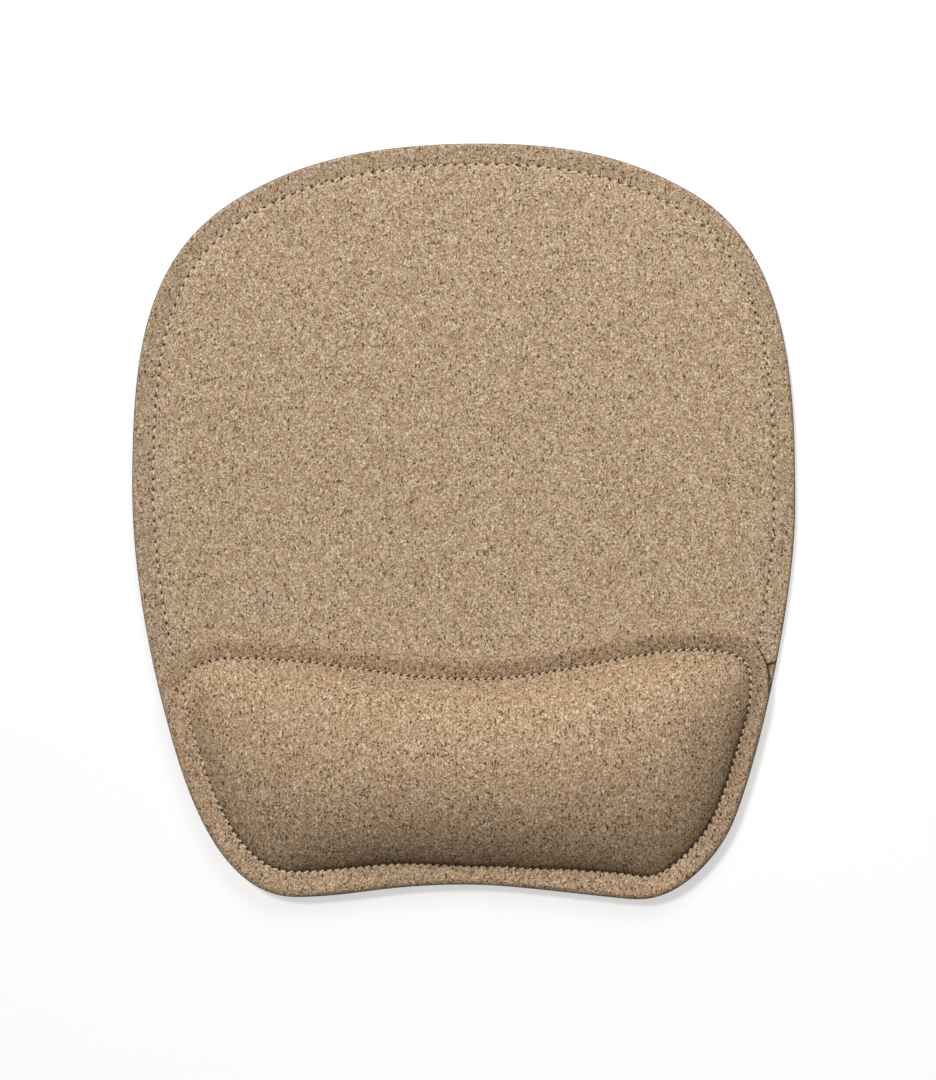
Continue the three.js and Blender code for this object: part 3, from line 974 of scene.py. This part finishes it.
def wrist_cover():
    """The cushion's cork cloth, and its dome's flat points and their heights over the seam."""
    s = Skin()
    # the inner skin, from under the dome out to the hem
    last = s.ring(wrist.from_seam(1.2, COARSE), WRIST_SEAM - CORK)
    s.fill(last, 4, flip=True)
    inner_count = s.count
    for d, z in [
        (wrist.width - 0.6, WRIST_SEAM - CORK), (FLANGE_ROUND + 0.4, FLANGE_RIM - CORK),
        (CORK, FLANGE_RIM - FLANGE_ROUND - 0.35), (CORK, HEM),
    ]:
        last = s.join(last, s.ring(wrist.from_edge(d, COARSE), z))
    # the hem and the flange's edge
    for d, z in [(0.06, HEM), (0, HEM + 0.06), (-0.03, 5.0), (0, FLANGE_RIM - FLANGE_ROUND)]:
        last = s.join(last, s.ring(wrist.from_edge(d, COARSE), z))
        s.rolled_out.append((last, wrist, COARSE, d, z))
    # painted shade on the lowest rows of its edge at its right end, where it stands on the pad's border
    grain_and_painted_shade = np.exp(-((np.linalg.norm(wrist.edge - np.array(EDGE_SHADE_PLACE), axis=1) / 6.5) ** 4))
    for turn, dark in ((15, 1.0), (30, 0.9), (45, 0.45), (60, 0), (75, 0), (90, 0)):
        a = math.radians(turn)
        d = FLANGE_ROUND * (1 - math.cos(a))
        z = FLANGE_RIM - FLANGE_ROUND * (1 - math.sin(a))
        last = s.join(last, s.ring(wrist.from_edge(d, COARSE), z, (grain_and_painted_shade * dark)[::COARSE]))
        s.rolled_out.append((last, wrist, COARSE, d, z))
    # the flange, from its round edge in to the seam
    rim_t = -(wrist.width - FLANGE_ROUND)
    flange = []
    for t, every in [
        (rim_t * 0.8, 4), (rim_t * 0.62, 4), (rim_t * 0.48, 2), (-1.5, 2),
        (-1.1, 1), (-0.8, 1), (-0.56, 1), (-0.36, 1), (-0.17, 1),
    ]:
        share = 1 - t / rim_t
        z = FLANGE_RIM - (FLANGE_RIM - WRIST_SEAM - 0.1) * share ** 1.15
        puff = 0.05 * np.sin(np.pi * wrist.phase) ** 2 * np.exp(-((t / 0.9) ** 2))
        z = z + puff - seam_dip(t)
        # painted shade in the needle holes and along the seam, on the rows next to it
        hole = seam_shade(wrist, t) if every == 1 else np.zeros(wrist.count)
        last = s.join(last, s.ring(wrist.from_edge(wrist.width + t, every), z[::every], hole[::every]))
        flange.append((last, every, 0.5 + 0.5 * share))
    # the dome's own mesh
    dome_start = s.count
    seam_rows = [
        (0.0, 1), (0.18, 1), (0.36, 1), (0.55, 1), (0.8, 1), (1.1, 1),
        (1.5, 2), (2.0, 2), (2.7, 4), (3.6, 4),
    ]
    rings, painted_shade = [], []
    for t, every in seam_rows:
        # painted shade in the needle holes and along the seam, and on the dome's cloth just inside it
        hole = seam_shade(wrist, t)
        painted_shade.append((2.6 * wrist.traits[:, 2] * math.exp(-((t / 3.2) ** 2)))[::every])
        ring = s.ring(wrist.from_seam(t, every), WRIST_SEAM, hole[::every])
        rings.append(ring)
        last = s.join(last, ring)
    s.fill(last, DOME_GRID)
    points = s.array()
    triangles = triangles_of([f for f in s.faces if min(f) >= dome_start]) - dome_start
    flat = points[dome_start:, :2]
    rim = rings[1] - dome_start
    height = crown_heights(flat, triangles, rim)
    height = filled_out(flat, triangles, height, rim)
    height[rings[0] - dome_start] = 0
    # scallops between the needle holes
    local = np.zeros(len(flat))
    for (t, every), ring in zip(seam_rows, rings):
        puff = 0.1 * np.sin(np.pi * wrist.phase) ** 2 * math.exp(-((t / 1.3) ** 2))
        local[ring - dome_start] = (puff - seam_dip(t))[::every]
    points[dome_start:, 2] = WRIST_SEAM + height + local
    # the inner skin follows the dome
    tree = tree_of(flat)
    for k in range(inner_count):
        found = tree.find((points[k, 0], points[k, 1], 0))[1]
        points[k, 2] = max(WRIST_SEAM - CORK, points[dome_start + found, 2] - DOME_SKIN)
    s.points = [points]
    # painted shade: all the cloth outside the dome, then the flange by its trait and darker towards the seam,
    # and the dome's rings next to the seam
    s.shades["painted_shade"] = (np.arange(len(points)) < dome_start) * 1.0
    for ring, every, dark in flange:
        s.shades["painted_shade"][ring] = (wrist.traits[:, 4] * dark)[::every]
    s.shades["painted_shade"][np.concatenate(rings)] = np.concatenate(painted_shade)
    # painted shade, darker low on the dome's front
    low = (1 - height / height.max()) * np.clip((-62 - flat[:, 1]) / 25, 0, 1)
    s.shades["painted_shade"][dome_start:] += 0.8 * low
    s.shades["warm"] = np.ones(len(points))
    made = piece("wrist_cork_cushion", s, CORK_CLOTH, ["wrist_cork_cover"])
    return flat, height


def flat_sheet(name, ring, low, high, material, nodes):
    s = Skin()
    last = s.ring(ring, low)
    s.fill(last, 6, flip=True)
    last = s.join(last, s.ring(ring, high))
    s.fill(last, 6)
    return piece(name, s, material, nodes)


def wrist_foam(flat, height):
    """The cushion's foam, under a dome given by its flat points and their heights over the seam."""
    s = Skin()
    depth = CORK + GAP
    last = s.ring(wrist.from_edge(depth, FEW), BACKING_TOP)
    s.fill(last, 6, flip=True)
    for d, z in [
        (depth, FLANGE_RIM - FLANGE_ROUND - depth / 2), (depth + 0.6, FLANGE_RIM - depth - 0.4),
        (FLANGE_ROUND + depth, FLANGE_RIM - depth), (wrist.width - 0.6, WRIST_SEAM - depth),
    ]:
        last = s.join(last, s.ring(wrist.from_edge(d, FEW), z))
    last = s.join(last, s.ring(wrist.from_seam(1.4, FEW), WRIST_SEAM - depth))
    start = s.count
    s.fill(last, 4)
    points = s.array()
    tree = tree_of(flat)
    for k in range(start, len(points)):
        found = tree.find((points[k, 0], points[k, 1], 0))[1]
        points[k, 2] = max(WRIST_SEAM - depth, WRIST_SEAM + height[found] - DOME_FOAM)
    s.points = [points]
    made = piece("wrist_foam_cushion", s, FOAM, ["wrist_foam_core"])


# The stage.


def lay_floor():
    """A white floor just clear of the base's underside."""
    mesh = bpy.data.meshes.new("floor")
    corners = [(-1, -1), (1, -1), (1, 1), (-1, 1)]
    places = [(x * FLOOR_HALF, y * FLOOR_HALF, -FLOOR_GAP * MM) for x, y in corners]
    mesh.from_pydata(places, [], [(0, 1, 2, 3)])
    floor = bpy.data.objects.new("floor", mesh)
    bpy.context.scene.collection.objects.link(floor)
    n = Nodes("floor")
    path = n.add("ShaderNodeLightPath").outputs
    white = n.add("ShaderNodeBsdfDiffuse", {"Color": (0.8, 0.8, 0.8, 1)})
    pale = n.add("ShaderNodeBsdfDiffuse", {"Color": (0.46, 0.46, 0.46, 1)})
    glow = n.add("ShaderNodeEmission", {"Color": (1, 1, 1, 1), "Strength": 0.595})
    both = n.add("ShaderNodeAddShader", {0: pale.outputs[0], 1: glow.outputs[0]})
    seen = n.add("ShaderNodeMixShader", {0: path["Is Camera Ray"], 1: white.outputs[0], 2: both.outputs[0]})
    # from below it is clear, so that the underside can be looked at and lit
    clear = n.add("ShaderNodeBsdfTransparent")
    back = n.add("ShaderNodeNewGeometry").outputs["Backfacing"]
    through = n.math("MAXIMUM", back, path["Is Shadow Ray"])
    solid = n.add("ShaderNodeMixShader", {0: through, 1: seen.outputs[0], 2: clear.outputs[0]})
    n.link(solid.outputs[0], n.out.inputs[0])
    mesh.materials.append(n.material)


def light_room():
    """A world that shows white, and lights the pad with a little warm light."""
    world = bpy.data.worlds.new("studio")
    bpy.context.scene.world = world
    world.use_nodes = True
    tree = world.node_tree
    tree.nodes.clear()

    def glow(colour, strength):
        node = tree.nodes.new("ShaderNodeBackground")
        node.inputs[0].default_value, node.inputs[1].default_value = colour, strength
        return node.outputs[0]

    seen_by_camera = tree.nodes.new("ShaderNodeLightPath").outputs["Is Camera Ray"]
    mix = tree.nodes.new("ShaderNodeMixShader")
    parts = (seen_by_camera, glow((1, 0.95, 0.88, 1), 0.053), glow((1, 1, 1, 1), 1.0))
    for part, socket in zip(parts, mix.inputs):
        tree.links.new(part, socket)
    tree.links.new(mix.outputs[0], tree.nodes.new("ShaderNodeOutputWorld").inputs[0])


def lamp(name, kind, direction, energy, **values):
    """A lamp that shines from a direction on the middle of the pad."""
    data = bpy.data.lights.new(name, kind)
    data.energy = energy
    for key, value in values.items():
        setattr(data, key, value)
    made = bpy.data.objects.new(name, data)
    direction = Vector(direction).normalized()
    made.location = direction * LAMP_FAR
    made.rotation_mode = "QUATERNION"
    made.rotation_quaternion = direction.to_track_quat("Z", "Y")
    bpy.context.scene.collection.objects.link(made)


def look_down():
    """The camera, straight above the pad."""
    data = bpy.data.cameras.new("camera")
    data.sensor_width = 36
    data.lens = data.sensor_width * CAMERA_FAR * PX_PER_M / PHOTO_TALL
    made = bpy.data.objects.new("camera", data)
    made.location = (*CAMERA_OVER, CAMERA_FAR + PAD_TOP * MM)
    made.rotation_mode = "QUATERNION"
    made.rotation_quaternion = (1, 0, 0, 0)
    bpy.context.scene.collection.objects.link(made)
    bpy.context.scene.camera = made


# The pieces.
base_sheet()
cover = pad_cover()
pad_foam()
over = stitch_wave(0.16, -0.85, 0.42, 0.21)
under = stitch_wave(-0.02, 0.35, 0.5, 0.3)
thread_along("pad_needle_stitches", pad, PAD_GROOVE - 0.1, over, pad_sway, 14, 8, THREAD_R,
             ["pad_needle_thread"])
thread_along("pad_bobbin_stitches", pad, 0.24, under, pad_sway, 10, 6, THREAD_R, ["pad_bobbin_thread"])
dome_flat, dome_height = wrist_cover()
over = stitch_wave(0.12, -0.72, 0.5, 0.27)
thread_along("wrist_needle_stitches", wrist, WRIST_SEAM - 0.1, over, wrist_sway, 14, 8, WRIST_THREAD_R,
             ["wrist_needle_thread"], STITCH_UNEVEN, LOOSE_PLACE)
thread_along("wrist_bobbin_stitches", wrist, TAPE_TOP - 0.24, under, pad_sway, 8, 6, THREAD_R,
             ["wrist_bobbin_thread"])
tape_ring = closed_spline(ring_at("wrist_adhesive_sheet"), 6)
flat_sheet("wrist_tape_sheet", tape_ring, PAD_TOP, TAPE_TOP, TAPE, ["wrist_adhesive_sheet"])
backing_ring = wrist.from_edge(CORK + GAP, FEW)
backing = flat_sheet("wrist_backing_cloth", backing_ring, TAPE_TOP, BACKING_TOP, BACKING,
                     ["wrist_backing_sheet"])
wrist_foam(dome_flat, dome_height)

# The floor, the light and the camera.
lay_floor()
light_room()
lamp("key", "SUN", (-0.37, 0.43, 1), math.pi * 0.641, angle=math.radians(10))
lamp("broad", "AREA", (0.116, 0.659, 0.743), 2.4, shape="DISK", size=0.45)
lamp("below", "SUN", (-0.3, -0.4, -1), math.pi * 0.6, angle=math.radians(30))
look_down()
bpy.context.scene.view_settings.view_transform = "Standard"
